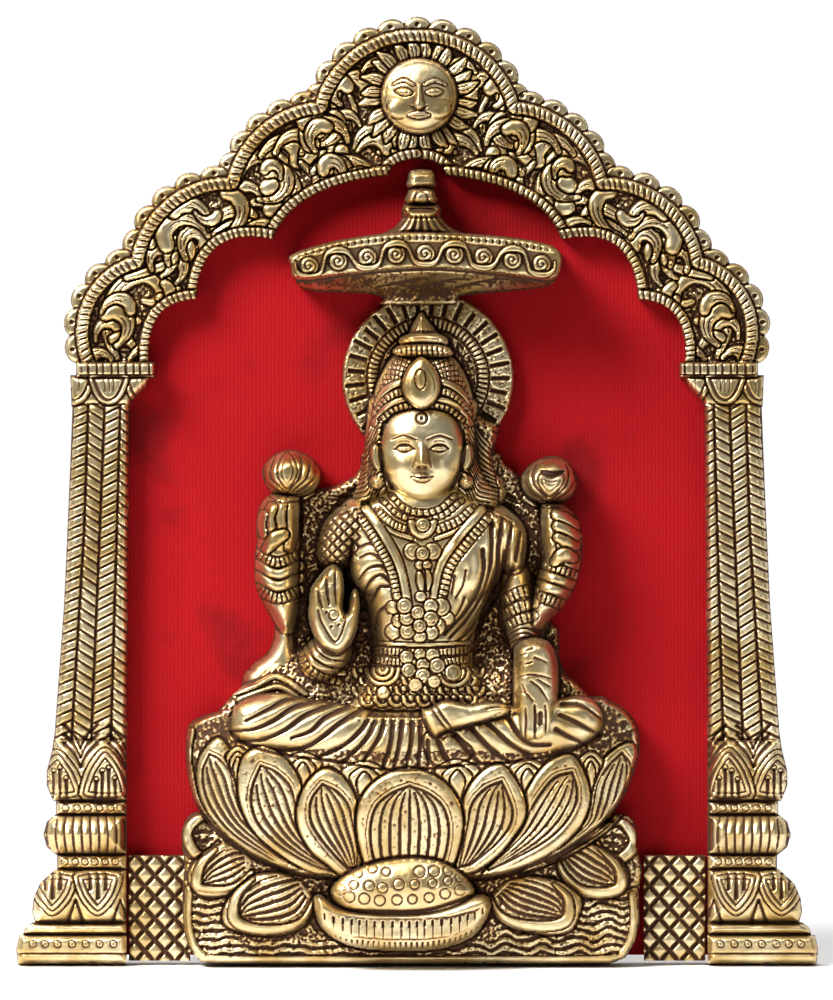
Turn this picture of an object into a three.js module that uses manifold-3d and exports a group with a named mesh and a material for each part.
// A four-armed goddess seated on a lotus under a parasol, inside a lobed arch on two pillars.
// It is a cast metal wall plaque: a frame and a figure, both flat behind, in front of a board
// covered with red cloth. Millimetres, +Z up, +Y into the wall. The origin is the middle of
// the board's back, where the plaque meets the wall.
import * as THREE from "three";
import { ConvexGeometry } from "three/addons/geometries/ConvexGeometry.js";
import { mergeVertices } from "three/addons/utils/BufferGeometryUtils.js";
import Module from "manifold-3d";

const wasm = await Module();
wasm.setup();

// Sizes of the whole plaque and of its layers, from the wall forwards.
const plaqueHeight = 330;
const plaqueWidth = 278; // across the feet of the pillars
const boardThickness = 4;
const clothThickness = 0.8;
const touchGap = 0.3; // left between two pieces that touch
const seamSlack = 0.35; // how far a face may move where the seams of joined forms are drawn together
const boardInset = 6; // from the middle of the rope moulding in to the board's edge
const boardLift = 3; // the board's lower edge above the floor line
const plateThickness = 6; // the frame's cast plate, under its ornament

// The arch.
const springHeight = 209.5; // floor line to the top of the abacus
const archHalfWidth = 114.5; // middle of the rope moulding at the springing
const ropeWidth = 4.2;
const ropeRise = 2.6; // above the plate
const scallopRadius = 4.6;
const scallopThickness = 5;
const scallopsPerLobe = [5, 4, 4, 5];
const rimWidth = 3.4; // beaded moulding along the opening
const rimRise = 2.2;
const leafRise = 2.6;

// The pillars.
const footWidth = 38;
const shaftTopWidth = 21;
const shaftFootWidth = 27;
const shaftStart = 78; // height of the shaft's foot
const capitalHeight = 12.5; // from the shaft's top to the top of the abacus
const shaftEnd = springHeight - capitalHeight; // height of the shaft's top
const shaftThickness = 8;
const baseThickness = 12; // bulbs, collars and foot
const chevronPitch = 10;
const chevronRise = 1.1;
const abacusHeight = 5.6;
const abacusWidth = 27;
const panelHeight = 38;
const panelLift = 1; // the lattice panel above the floor line
const latticeColumns = 3;
const studRise = 1.2;
const leafLift = 1.3; // carved leaves above the tiers of the base

// The sun at the top of the arch.
const sunRadius = 13.5;
const sunRise = 8;
const sunRays = 16;
const sunReach = 1.36; // tips of the rays, as a share of the radius
const sunMargin = 0.6; // from the top ray to the rope moulding

// The figure keeps its proportions and is scaled to the opening. Its parts are drawn on a height of 278.
const figureClearance = 2.2; // the parasol's knob below the arch
const baseShare = 0.284; // half the base's width, as a share of the figure's height

const floorZ = -plaqueHeight / 2;
const castBack = boardThickness + touchGap + clothThickness + touchGap;
const springZ = floorZ + springHeight;
const ropeTopZ = plaqueHeight / 2 - ropeWidth / 2 - scallopRadius;
const archRise = ropeTopZ - springZ;
const pillarInner = plaqueWidth / 2 - footWidth;

// Points of the arch are shares of its half width and of its rise above the springing.
const archPoint = ([x, z]) => new THREE.Vector2(x * archHalfWidth, springZ + z * archRise);
const lobeCorners = [[0, 1], [0.294, 0.78], [0.562, 0.547], [0.852, 0.307], [1, 0]].map(archPoint);
const lobeBulges = [0.171, 0.163, 0.19, 0.23]; // rise of each arc, as a share of its chord
const notchTop = archPoint([0, 0.623]);
const innerCusps = [[0.088, 0.572], [0.44, 0.376], [0.673, 0.192], [0.815, -0.01]].map(archPoint);
const innerPulls = [[0.379, 0.541], [0.658, 0.425], [0.831, 0.188]].map(archPoint);

const figureHeight = notchTop.y - floorZ - figureClearance;
const figureScale = figureHeight / 278;
const baseHalfWidth = figureHeight * baseShare;

// Solids

function solid(geometry) {
  const bare = geometry.index ? geometry.toNonIndexed() : geometry.clone();
  bare.deleteAttribute("normal");
  bare.deleteAttribute("uv");
  const merged = mergeVertices(bare, 1e-4);
  const mesh = new wasm.Mesh({
    numProp: 3,
    vertProperties: new Float32Array(merged.attributes.position.array),
    triVerts: new Uint32Array(merged.index.array),
  });
  return new wasm.Manifold(mesh);
}

function join(solids) {
  if (solids.length === 1) return solids[0];
  const half = Math.ceil(solids.length / 2);
  return join(solids.slice(0, half)).add(join(solids.slice(half)));
}

// Joins leave slivers along their seams. Here a corner is drawn onto its neighbour wherever that moves
// none of the faces that met there by more than `slack`, nor the flat back at all.
function withoutSlivers(points, faces, slack) {
  const around = points.map(() => new Set());
  const planes = points.map(() => []);
  const normalOf = ([a, b, c]) => points[b].clone().sub(points[a]).cross(points[c].clone().sub(points[a]));
  for (const face of faces) {
    const normal = normalOf(face);
    if (normal.length() < 1e-9) normal.set(0, 0, 0);
    const plane = new THREE.Plane().setFromNormalAndCoplanarPoint(normal.normalize(), points[face[0]]);
    for (const corner of face) {
      around[corner].add(face);
      planes[corner].push(plane);
    }
  }
  const neighbours = (v) => new Set([...around[v]].flat().filter((other) => other !== v));
  const allowed = (plane) => (plane.normal.y > 0.9999 ? 1e-4 : slack);

  function draw(from, to) {
    const shared = [...around[from]].filter((face) => face.includes(to));
    const target = neighbours(to);
    const common = [...neighbours(from)].filter((v) => target.has(v));
    if (shared.length !== 2 || common.length !== 2) return false;
    const strays = (plane) => Math.abs(plane.distanceToPoint(points[to])) > allowed(plane);
    if (planes[from].some(strays)) return false;
    const kept = [...around[from]].filter((face) => !face.includes(to));
    for (const face of kept) {
      const before = normalOf(face);
      const after = normalOf(face.map((v) => (v === from ? to : v)));
      const steady = after.dot(before) >= 0.5 * after.length() * before.length();
      if (after.length() < 0.02 || (before.length() > 0.02 && !steady)) return false;
    }
    for (const face of shared) face.forEach((v) => around[v].delete(face));
    for (const face of kept) {
      face[face.indexOf(from)] = to;
      around[to].add(face);
    }
    planes[to].push(...planes[from]);
    around[from].clear();
    return true;
  }

  let drawn = true;
  while (drawn) {
    drawn = false;
    const edges = [];
    points.forEach((point, v) => {
      neighbours(v).forEach((u) => edges.push([point.distanceTo(points[u]), v, u]));
    });
    edges.sort((a, b) => a[0] - b[0]);
    for (const [, from, to] of edges) {
      if (around[from].size && around[to].size && neighbours(from).has(to) && draw(from, to)) drawn = true;
    }
  }
  return faces.filter((face) => around[face[0]].has(face));
}

function geometryOf(made, slack) {
  const mesh = made.getMesh();
  const points = [];
  for (let i = 0; i < mesh.numVert; i++) {
    points.push(new THREE.Vector3(...mesh.vertProperties.subarray(i * mesh.numProp, i * mesh.numProp + 3)));
  }
  let faces = [];
  for (let i = 0; i < mesh.numTri; i++) faces.push([...mesh.triVerts.subarray(i * 3, i * 3 + 3)]);
  if (slack > 0) faces = withoutSlivers(points, faces, slack);
  const geometry = new THREE.BufferGeometry().setFromPoints(points);
  geometry.setIndex(faces.flat());
  geometry.computeVertexNormals();
  return geometry;
}

// An outline in the plane of the wall, raised forwards from depth `from` to depth `to`.
function raised(points, from, to, bevel = 0) {
  const geometry = new THREE.ExtrudeGeometry(new THREE.Shape(points), {
    depth: to - from - 2 * bevel,
    bevelEnabled: bevel > 0,
    bevelThickness: bevel,
    bevelSize: bevel,
    bevelOffset: -bevel,
    bevelSegments: 1,
    curveSegments: 8,
  });
  geometry.translate(0, 0, from + bevel);
  geometry.rotateX(Math.PI / 2);
  return solid(geometry);
}

const flat = (points, from, to, bevel) =>
  raised(points.map(([x, z]) => new THREE.Vector2(x, z)), from, to, bevel);

const box = (left, right, low, high, from, to, bevel = 0) =>
  flat([[left, low], [right, low], [right, high], [left, high]], from, to, bevel);

function ellipsoid([x, z, depth], [rx, rz, rDepth], around, up) {
  const size = Math.max(rx, rz);
  const sides = around ?? (size < 4 ? 6 : 8);
  const geometry = new THREE.SphereGeometry(1, sides, up ?? (size < 4 ? 4 : 6));
  geometry.rotateX(Math.PI / 2);
  geometry.scale(rx, rDepth, rz);
  geometry.translate(x, -depth, z);
  return solid(geometry);
}

// A tapered limb with round ends, from [x, z, depth, radius] to [x, z, depth, radius].
function limb(start, end, flatten = 1) {
  const points = [];
  for (const [x, z, depth, radius] of [start, end]) {
    const ball = new THREE.SphereGeometry(radius, 6, radius < 3 ? 3 : 4);
    const p = ball.attributes.position;
    for (let i = 0; i < p.count; i++) {
      points.push(new THREE.Vector3(p.getX(i) + x, p.getY(i) * flatten - depth, p.getZ(i) + z));
    }
  }
  return solid(new ConvexGeometry(points));
}

// A solid turned about an upright line, squashed in depth, with the profile as [radius, height].
function turned(profile, [x, z, depth], squash, segments) {
  const geometry = new THREE.LatheGeometry(profile.map(([r, h]) => new THREE.Vector2(r, h)), segments);
  geometry.rotateX(Math.PI / 2);
  geometry.scale(1, squash, 1);
  geometry.translate(x, -depth, z);
  return solid(geometry);
}

// Outlines

function arc(a, b, bulge, steps) {
  const chord = b.clone().sub(a);
  const away = new THREE.Vector2(-chord.y, chord.x).multiplyScalar(-1);
  const radiusShare = (0.25 + bulge * bulge) / (2 * bulge);
  const half = Math.asin(0.5 / radiusShare);
  const points = [];
  for (let i = 0; i <= steps; i++) {
    const turn = -half + (2 * half * i) / steps;
    const along = 0.5 + radiusShare * Math.sin(turn);
    const out = radiusShare * (Math.cos(turn) - Math.cos(half));
    points.push(a.clone().addScaledVector(chord, along).addScaledVector(away, -out));
  }
  return points;
}

// The right half of a line, read from the apex down, with the outward direction at each point.
function ropeLine(stepsPerLobe) {
  const line = [];
  lobeBulges.forEach((bulge, i) => {
    const points = arc(lobeCorners[i], lobeCorners[i + 1], bulge, stepsPerLobe);
    line.push(...(i ? points.slice(1) : points));
  });
  return line;
}

function outward(line, i) {
  const before = line[Math.max(i - 1, 0)];
  const after = line[Math.min(i + 1, line.length - 1)];
  const run = after.clone().sub(before).normalize();
  return i === 0 ? new THREE.Vector2(0, 1) : new THREE.Vector2(-run.y, run.x);
}

const offsetLine = (line, distance) =>
  line.map((point, i) => point.clone().addScaledVector(outward(line, i), distance));

const mirrored = (points) => points.map((p) => new THREE.Vector2(-p.x, p.y)).reverse();

// A closed strip along a line from the apex down, on both sides of the plaque.
function strip(line, inner, outer, from, to, bevel = 0) {
  const outside = offsetLine(line, outer);
  const inside = offsetLine(line, inner);
  const whole = [
    ...mirrored(outside.slice(1)),
    ...outside,
    ...[...inside].reverse(),
    ...mirrored(inside.slice(1)).reverse(),
  ];
  return raised(whole, from, to, bevel);
}

function innerLine() {
  const notchSteps = 3;
  const line = [notchTop];
  for (let i = 1; i <= notchSteps; i++) {
    const turn = (i / notchSteps) * (Math.PI / 2);
    const rise = (notchTop.y - innerCusps[0].y) * Math.cos(turn);
    line.push(new THREE.Vector2(innerCusps[0].x * Math.sin(turn), innerCusps[0].y + rise));
  }
  innerPulls.forEach((pull, i) => {
    const bend = new THREE.QuadraticBezierCurve(innerCusps[i], pull, innerCusps[i + 1]);
    line.push(...bend.getPoints(4).slice(1));
  });
  return line;
}

// The frame

const shaftOuter = (height) => {
  const share = (height - shaftStart) / (shaftEnd - shaftStart);
  return pillarInner + shaftFootWidth + share * (shaftTopWidth - shaftFootWidth) - 1.5;
};

// Each tier of the pillar's base, from the floor line up: its top, how far it reaches past the
// shaft at its foot, middle and top, and its thickness over or under that of the base.
const baseTiers = [
  { top: 10.5, reach: [11, 12.5, 11], over: 1 },
  { top: 14, reach: [9, 8, 6.5], over: 0 },
  { top: 32.5, reach: [5.5, 6.5, -1], over: 1.5 },
  { top: 38, reach: [-1.5, -1.2, -1.5], over: -1.5 },
  { top: 52, reach: [-0.5, 3.6, -0.5], over: 2 },
  { top: 57, reach: [-1, -0.6, -0.5], over: -1.5 },
  { top: shaftStart, reach: [0.5, 2.7, 0.2], over: 0.5 },
];

function tierSolid(low, tier, side) {
  const high = tier.top + 0.2;
  const edge = (height, reach) => new THREE.Vector2(side * (shaftOuter(shaftStart) + reach), floorZ + height);
  const inner = side * pillarInner;
  const middle = (low + high) / 2;
  const points = [
    new THREE.Vector2(inner, floorZ + low),
    edge(low, tier.reach[0]),
    edge(middle, tier.reach[1]),
    edge(high, tier.reach[2]),
    new THREE.Vector2(inner, floorZ + high),
  ];
  const top = castBack + baseThickness + tier.over;
  return raised(side > 0 ? points : points.reverse(), castBack, top, tier.over > 0 ? 1.4 : 0);
}

// Upright pointed leaves carved on a tier.
function tierLeaves(low, high, thickness, side, count) {
  const left = pillarInner + 1.5;
  const width = (shaftOuter(shaftStart) + 1 - left) / count;
  const shape = [[0, 0], [0.4, 0.25], [0.42, 0.6], [0, 1], [-0.42, 0.6], [-0.4, 0.25]];
  const leaves = [];
  for (let i = 0; i < count; i++) {
    const x = side * (left + width * (i + 0.5));
    const outline = shape.map(([u, v]) => new THREE.Vector2(x + u * width, floorZ + low + v * (high - low)));
    leaves.push(raised(outline, castBack + thickness - 1, castBack + thickness + leafLift));
  }
  return leaves;
}

function chevrons(side) {
  const bars = [];
  const rows = Math.floor((shaftEnd - shaftStart - 16) / chevronPitch);
  const barHeight = chevronPitch * 0.62;
  for (let row = 0; row < rows; row++) {
    const height = shaftStart + 3 + row * chevronPitch;
    const left = pillarInner + 1;
    const stripWidth = (shaftOuter(height + chevronPitch) - 1 - left) / 4;
    const lower = [];
    const upper = [];
    for (let i = 0; i <= 4; i++) {
      const z = floorZ + height + (i % 2 ? 1 : 0) * stripWidth * 0.45;
      lower.push(new THREE.Vector2(side * (left + i * stripWidth), z));
      upper.push(new THREE.Vector2(side * (left + i * stripWidth), z + barHeight));
    }
    const points = [...lower, ...upper.reverse()];
    const top = castBack + shaftThickness + chevronRise;
    bars.push(raised(side > 0 ? points : points.reverse(), top - chevronRise - 1, top));
  }
  return bars;
}

function pillar(side) {
  const inner = side * (pillarInner - 0.5);
  const neck = side * (pillarInner - abacusWidth * 0.28);
  const shaft = [
    new THREE.Vector2(inner, floorZ + shaftStart - 1),
    new THREE.Vector2(side * shaftOuter(shaftStart), floorZ + shaftStart - 1),
    new THREE.Vector2(side * shaftOuter(shaftEnd), floorZ + shaftEnd - 6),
    new THREE.Vector2(side * shaftOuter(shaftEnd), springZ - abacusHeight + 0.5),
    new THREE.Vector2(neck, springZ - abacusHeight + 0.5),
    new THREE.Vector2(inner, floorZ + shaftEnd - 7),
  ];
  const pieces = [
    raised(side > 0 ? shaft : shaft.reverse(), castBack, castBack + shaftThickness, 1.5),
    ...chevrons(side),
  ];
  const abacusOuter = archHalfWidth + ropeWidth / 2 + 1.5;
  const ends = [side * (abacusOuter - abacusWidth), side * abacusOuter].sort((a, b) => a - b);
  const abacusTop = castBack + plateThickness + 4;
  pieces.push(box(ends[0], ends[1], springZ - abacusHeight, springZ, castBack, abacusTop, 0.8));
  let low = 0;
  for (const tier of baseTiers) {
    pieces.push(tierSolid(low, tier, side));
    low = tier.top;
  }
  pieces.push(...tierLeaves(58.5, shaftStart - 1, baseThickness + 0.5, side, 2));
  pieces.push(...tierLeaves(39.5, 51, baseThickness + 2, side, 4));
  pieces.push(...tierLeaves(16, 31, baseThickness + 1.5, side, 2));
  return pieces;
}

// The lattice panel between a pillar's foot and the figure's base.
function panel(side) {
  const near = baseHalfWidth + touchGap;
  const far = pillarInner + 1;
  const low = floorZ + panelLift;
  const ends = [side * near, side * far].sort((a, b) => a - b);
  const top = castBack + plateThickness;
  const pieces = [box(ends[0], ends[1], low, low + panelHeight, castBack, top)];
  const margin = 1;
  const pitch = (far - near - 2 * margin) / latticeColumns;
  const rows = Math.floor((panelHeight - 2 * margin) / pitch);
  for (let row = 0; row < rows * 2 - 1; row++) {
    const shift = row % 2 ? 1 : 0.5;
    for (let column = 0; column < latticeColumns - (row % 2); column++) {
      const x = side * (near + margin + pitch * (column + shift));
      const z = low + (panelHeight - rows * pitch) / 2 + pitch * (row / 2 + 0.5);
      pieces.push(stud(x, z, top, pitch * 0.44));
    }
  }
  return pieces;
}

// A four-sided stud of the lattice, standing on its point.
function stud(x, z, top, reach) {
  const geometry = new THREE.ConeGeometry(reach, studRise * 2, 4);
  geometry.rotateX(Math.PI);
  geometry.translate(x, -top, z);
  return solid(geometry);
}

// A curled leaf of the scrollwork: a comma with a round head, drawn along a spiral from its stem.
function curl(start, heading, length, width, turn) {
  const steps = 3;
  const leftSide = [];
  const rightSide = [];
  let point = start.clone();
  for (let i = 0; i <= steps; i++) {
    const share = i / steps;
    const angle = heading + turn * share * (0.4 + 0.6 * share);
    const swell = Math.sin(Math.PI * Math.min(share * 0.62, 1)) ** 1.2;
    const half = width * (0.12 + 0.38 * swell) * (share > 0.9 ? 0.7 : 1);
    const ahead = new THREE.Vector2(Math.cos(angle), Math.sin(angle));
    const normal = new THREE.Vector2(-ahead.y, ahead.x);
    leftSide.push(point.clone().addScaledVector(normal, half));
    rightSide.push(point.clone().addScaledVector(normal, -half));
    point = point.clone().addScaledVector(ahead, length / steps);
  }
  return [...rightSide, ...leftSide.reverse()];
}

// Curls in pairs along the middle of the arch, first from one side of the stem and then from the other.
function scrollwork(side) {
  const outerRun = offsetLine(ropeLine(6), -ropeWidth / 2);
  const innerRun = offsetLine(innerLine(), rimWidth);
  const pieces = [];
  const stations = 6;
  const top = castBack + plateThickness + leafRise;
  for (let i = 0; i < stations; i++) {
    const share = 0.27 + (0.71 * (i + 0.5)) / stations;
    const outer = alongLine(outerRun, share);
    const inner = alongLine(innerRun, share);
    const across = outer.clone().sub(inner);
    const middle = inner.clone().addScaledVector(across, 0.5);
    const reach = across.length();
    const up = Math.atan2(across.y, across.x);
    for (const way of [1, -1]) {
      const bend = way * (i % 2 ? 1 : -1);
      const start = middle.clone().addScaledVector(across, -0.06 * way);
      const heading = up + (way > 0 ? 0 : Math.PI) - bend * 0.9;
      const outline = curl(start, heading, reach * 0.72, reach * 0.34, bend * 2.9);
      pieces.push(raised(side > 0 ? outline : mirrored(outline), top - leafRise - 1, top));
    }
  }
  return pieces;
}

function alongLine(line, share) {
  const lengths = [0];
  for (let i = 1; i < line.length; i++) lengths.push(lengths[i - 1] + line[i].distanceTo(line[i - 1]));
  const wanted = share * lengths[lengths.length - 1];
  const i = Math.max(1, lengths.findIndex((l) => l >= wanted));
  const part = (wanted - lengths[i - 1]) / (lengths[i] - lengths[i - 1]);
  return line[i - 1].clone().lerp(line[i], part);
}

function scallops() {
  const pieces = [];
  const place = (x, z, away) => {
    const half = [];
    for (let i = 0; i <= 4; i++) {
      const turn = away - Math.PI / 2 + (i / 4) * Math.PI;
      half.push(new THREE.Vector2(x + scallopRadius * Math.cos(turn), z + scallopRadius * Math.sin(turn)));
    }
    const inwards = new THREE.Vector2(-Math.cos(away), -Math.sin(away));
    half.push(half[4].clone().add(inwards), half[0].clone().add(inwards));
    pieces.push(raised(half, castBack, castBack + scallopThickness));
  };
  lobeBulges.forEach((bulge, lobe) => {
    const count = scallopsPerLobe[lobe];
    const line = arc(lobeCorners[lobe], lobeCorners[lobe + 1], bulge, 24);
    for (let i = 0; i < count; i++) {
      const index = lobe ? Math.round((24 * (i + 0.5)) / count) : Math.round((24 * i) / (count - 0.5));
      const away = outward(line, index);
      const centre = line[index].clone().addScaledVector(away, ropeWidth / 2);
      place(centre.x, centre.y, away.angle());
      if (index > 0) place(-centre.x, centre.y, Math.PI - away.angle());
    }
  });
  return pieces;
}

function sun() {
  const centreZ = springZ + archRise - ropeWidth / 2 - sunMargin - sunRadius * sunReach;
  const ground = castBack + plateThickness;
  const pieces = [ellipsoid([0, centreZ, ground], [sunRadius, sunRadius, sunRise], 12, 8)];
  const star = [];
  for (let i = 0; i < sunRays * 2; i++) {
    const turn = (Math.PI * i) / sunRays;
    const radius = sunRadius * (i % 2 ? 0.95 : sunReach);
    star.push(new THREE.Vector2(radius * Math.sin(turn), centreZ + radius * Math.cos(turn)));
  }
  pieces.push(raised(star.reverse(), ground - 1, ground + 2));
  const front = ground + sunRise;
  pieces.push(limb([0, centreZ + 2, front - 1, 1.2], [0, centreZ - 2, front - 0.3, 2]));
  pieces.push(ellipsoid([0, centreZ - 6.2, front - 2], [3.6, 1.4, 1.6]));
  for (const side of [1, -1]) {
    pieces.push(ellipsoid([side * 5, centreZ + 2, front - 1.6], [2.6, 1.5, 1.2]));
  }
  return pieces;
}

function frameSolid() {
  const outer = ropeLine(5);
  const inner = innerLine();
  const archPlate = [...mirrored(outer.slice(1)), ...outer];
  const opening = [...mirrored(inner.slice(1)), ...inner];
  const lowered = (points, z) => [
    new THREE.Vector2(points[0].x, z),
    ...points,
    new THREE.Vector2(points[points.length - 1].x, z),
  ];
  const back = castBack;
  const plate = raised(lowered(archPlate, springZ - 1).reverse(), back, back + plateThickness)
    .subtract(raised(lowered(opening, springZ - 20).reverse(), back - 1, back + plateThickness + 1));
  const top = back + plateThickness;
  const behind = box(-plaqueWidth, plaqueWidth, -plaqueHeight, plaqueHeight, -back, back);
  return join([
    plate,
    strip(outer, -ropeWidth / 2, ropeWidth / 2, back, top + ropeRise),
    strip(inner, 0, rimWidth, back, top + rimRise),
    ...scallops(),
    ...sun(),
    ...scrollwork(1),
    ...scrollwork(-1),
    ...pillar(1),
    ...pillar(-1),
    ...panel(1),
    ...panel(-1),
  ]).subtract(behind);
}

// The board and its cloth

function boardOutline() {
  const arch = offsetLine(ropeLine(4), -boardInset);
  const low = floorZ + boardLift;
  const foot = shaftOuter(shaftStart) - boardInset;
  const right = [...arch, new THREE.Vector2(foot, floorZ + shaftStart), new THREE.Vector2(foot, low)];
  return [...mirrored(right.slice(1)), ...right].reverse();
}

// The figure, drawn with its base on height 0 and its flat back on depth 0

function halo() {
  const [x, z, radius, rays] = [3.6, 204, 29.6, 20];
  const at = (reach, turn) => new THREE.Vector2(x + reach * Math.cos(turn), z + reach * Math.sin(turn));
  const spread = (from, to, count) =>
    Array.from({ length: count + 1 }, (_, i) => from + ((to - from) * i) / count);
  const pieces = [raised(spread(-0.9, Math.PI + 0.9, rays).map((turn) => at(radius, turn)), 0, 4)];
  for (const turn of spread(-0.82, Math.PI + 0.82, rays)) {
    const ray = [[0.74, -0.05], [0.985, -0.066], [0.985, 0.066], [0.74, 0.05]];
    pieces.push(raised(ray.map(([share, aside]) => at(radius * share, turn + aside)), 3, 5.6));
  }
  const ring = spread(-0.7, Math.PI + 0.7, 14);
  const outside = ring.map((turn) => at(21.4, turn));
  const inside = ring.reverse().map((turn) => at(18.2, turn));
  pieces.push(raised([...outside, ...inside], 3, 6.4));
  return pieces;
}

function head() {
  const pieces = [
    ellipsoid([1.2, 178, 17], [13, 17.5, 13], 12, 8),
    limb([1.2, 181, 29, 1.2], [1.2, 174.6, 31, 2.1]), // nose
    ellipsoid([1.2, 169.2, 27], [3.8, 2, 3], 6, 4), // mouth
    limb([1, 164, 13, 7.5], [1, 152, 12, 9]), // neck
  ];
  for (const side of [-1, 1]) {
    pieces.push(
      ellipsoid([1.2 + side * 6, 180.4, 26.4], [3.6, 1.6, 2.4]), // eye
      limb([1.2 + side * 13.4, 185, 9, 4.4], [1.2 + side * 16.6, 167, 9, 3.8]), // hair
      limb([1.2 + side * 16.6, 167, 9, 3.8], [1.2 + side * 23.6, 153, 10, 4.8]),
      ellipsoid([1.2 + side * 14.6, 165, 11.4], [2.4, 3.8, 3.4], 6, 4), // ear drop
    );
  }
  return pieces;
}

function crown() {
  const profile = [
    [0, 0], [17.6, 0], [18.6, 5], [13.4, 16], [10.2, 20],
    [10.4, 22.6], [8, 24.6], [8, 27], [5, 30], [0, 37.5],
  ];
  return [
    turned(profile, [2.2, 190.5, 13], 0.78, 12),
    ellipsoid([1.4, 201, 26.4], [6, 8.6, 4]), // gem
  ];
}

function parasol() {
  const canopy = [
    [0, 0], [46.4, 0], [47.6, 1.6], [47.4, 11], [45.6, 13], [17, 17.6], [8, 24], [0, 26],
  ];
  const knob = [
    [0, 0], [5.4, 0], [7, 1.4], [7, 3.4], [5.2, 4.8], [6, 8],
    [3.8, 15], [6, 18], [6, 21.6], [4, 23.6], [0, 23.6],
  ];
  return [
    turned(canopy, [3.6, 236.6, 0], 0.62, 20),
    turned(knob, [1.8, 254.4, 4], 1, 8),
    box(-8, 14, 228, 240, 0, 9),
  ];
}

function torso() {
  const rosette = (x, z, depth, radius) => {
    const outline = [];
    for (let i = 0; i < 12; i++) {
      const turn = (i / 12) * 2 * Math.PI;
      const reach = radius * (i % 2 ? 0.8 : 1);
      outline.push(new THREE.Vector2(x + reach * Math.cos(turn), z + reach * Math.sin(turn)));
    }
    return raised(outline, depth - 8, depth);
  };
  return [
    limb([4, 138, 9, 15], [3, 104, 9, 15], 0.9),
    limb([-16, 147, 8, 9.5], [24, 146, 8, 9.5], 0.9), // shoulders
    ellipsoid([-9, 131, 16], [11, 12, 8.5]),
    ellipsoid([17, 131, 16], [12.5, 13, 9]),
    ellipsoid([3, 104, 12], [19.5, 13, 11.5]),
    limb([28, 150, 14, 4.4], [13, 112, 20, 3.2]), // shawl
    limb([-12, 150, 17, 2], [-3.6, 124, 23, 2]), // garland
    limb([13, 150, 17, 2], [5.4, 124, 23, 2]),
    rosette(0.4, 122, 24, 8.4),
    rosette(1.6, 103.5, 25, 7.6),
    limb([-15, 107, 17, 3], [18, 107, 17, 3]), // belt
  ];
}

// A lotus bud: a squat ball of upright leaves.
function bud(x, z, depth) {
  const pieces = [ellipsoid([x, z, depth], [9.8, 7.6, 9])];
  for (const share of [-0.5, 0.5]) {
    pieces.push(ellipsoid([x + 9 * share, z - 0.6, depth + 6.4], [3.6, 6.6, 3], 6, 4));
  }
  return pieces;
}

// A stack of bangles, as one ridged cuff from one [x, z, depth, radius] to another.
function bangles(start, end, count) {
  const pieces = [];
  for (let i = 0; i < count; i++) {
    const share = i / (count - 1);
    const [x, z, depth, radius] = start.map((value, k) => value + (end[k] - value) * share);
    pieces.push(ellipsoid([x, z, depth], [radius, 2.6, radius], 8, 4));
  }
  return pieces;
}

// The fingers of a hand that holds a bud over it: a palm with three points, from depth 3 forwards.
function holdingFingers(x, z, lean) {
  const palm = [[-6, -7], [6, -7]];
  const tips = [[5.6, 3], [3.4, 8], [1, 2.4], [-1, 8], [-3.2, 2.4], [-5.4, 7]];
  const outline = [...palm, ...tips.map(([u, v]) => [u + lean, v]), [-7, 0]];
  return flat(outline.map(([u, v]) => [x + u, z + v]), 3, 17.5);
}

function arms() {
  const openPalm = [
    [-34, 108], [-22, 108], [-18.8, 117], [-18.4, 125], [-20.6, 127.6], [-22.8, 121.6],
    [-22.4, 133], [-24.2, 135.6], [-26, 133.6], [-26.2, 123], [-26.6, 137], [-28.6, 139.4],
    [-30.6, 137], [-30.6, 123], [-32.6, 135], [-35, 134.4], [-36.6, 120],
  ];
  const givingHand = [
    [34, 100], [34.6, 88], [35.6, 80.6], [37.4, 79.6], [38.8, 86], [39.4, 77.4],
    [41.2, 76], [42.8, 77.6], [43, 86], [44.6, 78.8], [46.6, 80], [47.4, 90], [47.6, 100],
  ];
  return [
    // the rear pair, each with a bud
    limb([-30, 128, 8, 7.5], [-43, 112, 9, 7]),
    limb([-44.5, 114, 9, 6.4], [-48, 142, 11, 5.6]),
    ...bangles([-48, 130, 11, 7.4], [-48.6, 139.4, 11, 7.4], 2),
    limb([-47.4, 145, 10.4, 6], [-47, 154, 10.4, 6]),
    holdingFingers(-47, 157, 1.6),
    ...bud(-43.2, 171.4, 11),
    limb([38, 124, 8, 6.5], [47, 118, 9, 6]),
    limb([46.6, 116, 9, 5.6], [49, 136, 11, 5.4]),
    ...bangles([46.8, 126.6, 11, 7], [49, 134.4, 11, 6.6], 2),
    limb([49.6, 141, 12, 6], [50, 149, 12, 6]),
    holdingFingers(50.4, 152, -1.6),
    ...bud(46.2, 166.6, 11),
    // the front pair, one palm raised and one hand open over the knee
    limb([-25, 150, 10, 8.4], [-32, 126, 11, 7]),
    limb([-32, 126, 11, 7], [-31, 111, 14, 8]),
    flat(openPalm, 12, 26),
    limb([32, 148, 10, 8], [35.4, 124, 11, 7]),
    ellipsoid([35, 123, 12], [8.2, 4.4, 8.2], 8, 4),
    limb([35.4, 122, 12, 7], [40.6, 98, 24, 6.8]),
    flat(givingHand, 18, 31),
  ];
}

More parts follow.
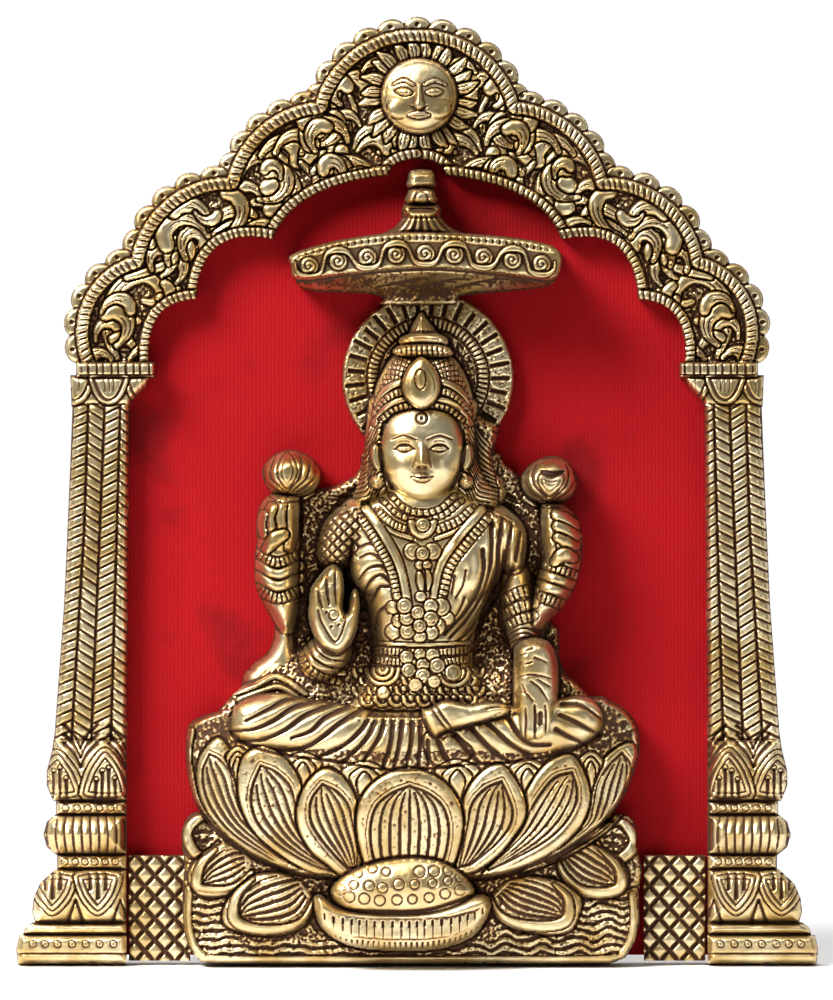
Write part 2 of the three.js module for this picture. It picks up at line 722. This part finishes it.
function legs() {
  const pieces = [
    limb([-14, 84, 14, 12], [-51, 85.5, 14, 9.8], 0.9),
    limb([14, 84, 14, 12], [52, 84.5, 14, 9.8], 0.9),
    limb([-44, 80, 22, 7], [10, 82, 24, 8], 0.9),
    limb([44, 80, 22, 7], [4, 86, 24, 7.5], 0.9),
    limb([8, 88, 28, 4.2], [29, 90, 29, 3], 0.9), // foot
  ];
  // folds of the skirt, fanning out from the waist
  const folds = 8;
  for (let i = 0; i < folds; i++) {
    const share = (2 * i) / (folds - 1) - 1;
    const aside = Math.abs(share);
    const lean = share * (1 - 0.15 * aside);
    const bend = Math.sqrt(1 - 0.55 * share * share);
    const waist = [14 * lean, 92 - 2 * aside, 22 * bend, 2];
    pieces.push(limb(waist, [46 * lean, 74 + 5 * aside, 27 * bend, 2]));
  }
  return pieces;
}

// The bowl of the lotus, half round in plan, as [radius, height].
const bowl = [
  [0, 29], [27, 29], [36, 31], [52, 40], [66, 52],
  [75, 64], [78.5, 74], [76.5, 80], [70, 81.5], [0, 81.5],
];
const bowlSquash = 0.35;

function bowlRadius(height) {
  for (let i = 2; i < bowl.length - 3; i++) {
    const [low, high] = [bowl[i], bowl[i + 1]];
    const share = (height - low[1]) / (high[1] - low[1]);
    if (share <= 1) return low[0] + (high[0] - low[0]) * share;
  }
  return bowl[6][0];
}

// A petal lying on the bowl: a flattened ball, pulled to a point at its top and bent round the bowl.
function petal(turn, halfTurn, low, high, thickness) {
  const geometry = new THREE.SphereGeometry(1, 6, 6);
  const position = geometry.attributes.position;
  for (let i = 0; i < position.count; i++) {
    const [u, v, w] = [position.getX(i), position.getY(i), position.getZ(i)];
    const height = low + ((v + 1) / 2) * (high - low);
    const narrow = 1 - 0.45 * Math.max(0, v) ** 2;
    const angle = turn + u * halfTurn * narrow;
    const radius = bowlRadius(Math.max(height, 31)) + w * thickness;
    const depth = radius * Math.cos(angle) * bowlSquash + w * thickness * 0.5;
    position.setXYZ(i, radius * Math.sin(angle), -depth, height);
  }
  return solid(geometry);
}

function lotus() {
  const pieces = [turned(bowl, [0, 0, 0], bowlSquash, 20)];
  const front = 7;
  for (let i = 0; i < front; i++) {
    const turn = (i - (front - 1) / 2) * 0.45;
    pieces.push(petal(turn, 0.205, 30, i === (front - 1) / 2 ? 69 : 72.5, 3.6));
  }
  for (let i = 0; i < front - 1; i++) {
    pieces.push(petal((i - (front - 2) / 2) * 0.45, 0.15, 44, 76, 2.4));
  }
  return pieces;
}

function pot() {
  const profile = [
    [0, 5.4], [25, 5.4], [28.5, 9], [29.5, 14.6], [31.2, 16], [31.4, 20.6],
    [29.4, 22], [27, 23.4], [21.5, 30], [12, 35.4], [0, 37.6],
  ];
  return [turned(profile, [-5, 0, 14], 0.62, 16)];
}

function base() {
  const half = baseHalfWidth / figureScale;
  const leaf = (x, z, turn, rx, rz, depth) => {
    const geometry = new THREE.SphereGeometry(1, 8, 4);
    geometry.scale(rx, 4, rz);
    geometry.rotateY(turn);
    geometry.translate(x, -depth, z);
    return solid(geometry);
  };
  const pieces = [
    box(-half, half, 0, 5, 0, 22, 1.2),
    box(-half, half, 3, 44, 0, 16, 1.2),
  ];
  for (const side of [1, -1]) {
    pieces.push(leaf(side * 45, 21, side * 0.12, 16, 10, 18));
    pieces.push(leaf(side * 63, 32.5, side * -0.5, 14, 8.4, 16));
    pieces.push(leaf(side * 71.5, 41, side * -1.1, 7.8, 6, 12));
    for (let i = 0; i < 3; i++) {
      const height = 8 + i * 6;
      pieces.push(limb([side * (40 + i * 5), height, 16, 1.4], [side * 77, height, 16, 1.4]));
    }
  }
  return pieces;
}

// The plate that holds the parts together behind, as wide as the shadowed ground between them.
function web() {
  const outline = [
    [-72, 78], [-60, 94], [-42, 104], [-41, 112], [-50, 126], [-50, 164], [-36, 166],
    [-24, 160], [-20, 176], [-16, 200], [22, 200], [24, 174], [32, 160], [44, 160],
    [53, 152], [52, 122], [47, 112], [46, 104], [60, 96], [72, 78],
  ].map(([x, z]) => new THREE.Vector2(x, z));
  return [raised(outline.reverse(), 0, 5)];
}

function figureSolid() {
  const made = join([
    ...web(), ...base(), ...pot(), ...lotus(), ...legs(), ...torso(),
    ...arms(), ...head(), ...crown(), ...halo(), ...parasol(),
  ]);
  const reach = 400;
  const behind = box(-reach, reach, -reach, reach, -reach, 0);
  const below = box(-reach, reach, -reach, 0, -reach, reach);
  return made.subtract(behind).subtract(below);
}

// Pieces

function piece(name, made, colour, roughness, metalness, slack = 0) {
  const material = new THREE.MeshStandardMaterial({ color: colour, roughness, metalness });
  const mesh = new THREE.Mesh(geometryOf(made, slack), material);
  mesh.name = name;
  return mesh;
}

const plaque = new THREE.Group();
const board = raised(boardOutline(), 0, boardThickness);
plaque.add(piece("backing_board", board, "#6b4a30", 0.8, 0));
const clothBack = boardThickness + touchGap;
const cloth = raised(boardOutline(), clothBack, clothBack + clothThickness);
plaque.add(piece("backing_cloth", cloth, "#b5161b", 0.95, 0));
plaque.add(piece("arch_frame", frameSolid(), "#c9a95c", 0.32, 1, seamSlack));
const figure = piece("lakshmi_figure", figureSolid(), "#cdae62", 0.3, 1, seamSlack);
figure.scale.setScalar(figureScale);
figure.position.set(0, -castBack, floorZ);
plaque.add(figure);

export default plaque;
